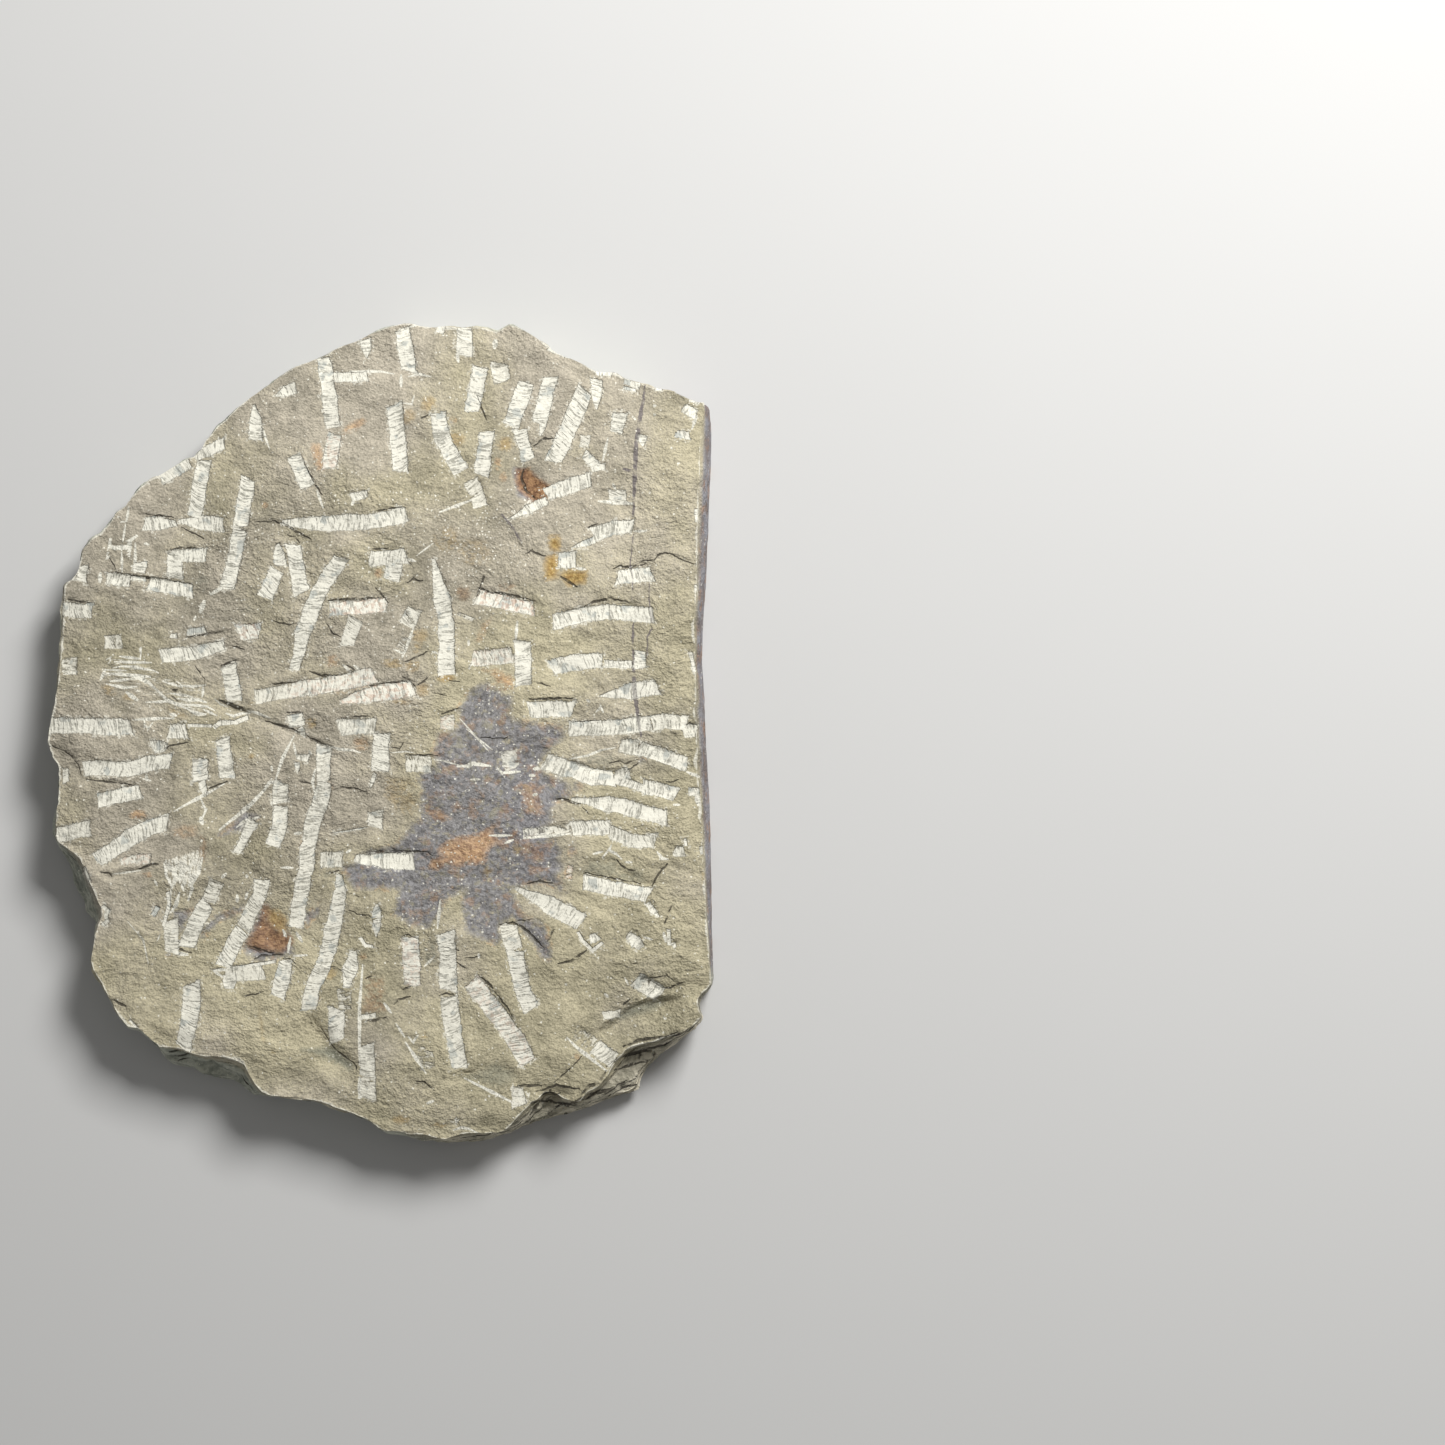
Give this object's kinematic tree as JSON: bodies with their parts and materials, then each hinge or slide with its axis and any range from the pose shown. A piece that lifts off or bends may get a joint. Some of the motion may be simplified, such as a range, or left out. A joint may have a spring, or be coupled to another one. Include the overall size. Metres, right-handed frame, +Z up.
{
  "type": "chisel-dressed fossil slab half",
  "caption": "D-shaped slab of khaki-grey mudstone from a split fossil slab, its upper face dressed all over with a flat chisel; lies flat on its plain underside.",
  "frame": {"origin": "centre of the bounding box at the resting face", "axes": "+Z up from the resting face, +X out of the straight joint face, +Y towards the domed end of the slab"},
  "size_m": [0.2502, 0.3088, 0.0231],
  "materials": {
    "mudstone": "matt, rough, khaki-grey split mudstone with pale chisel bruises, dark purple-grey manganese stains and orange iron stains"
  },
  "bodies": {
    "root": {"slab": "mudstone"}
  },
  "joints": []
}
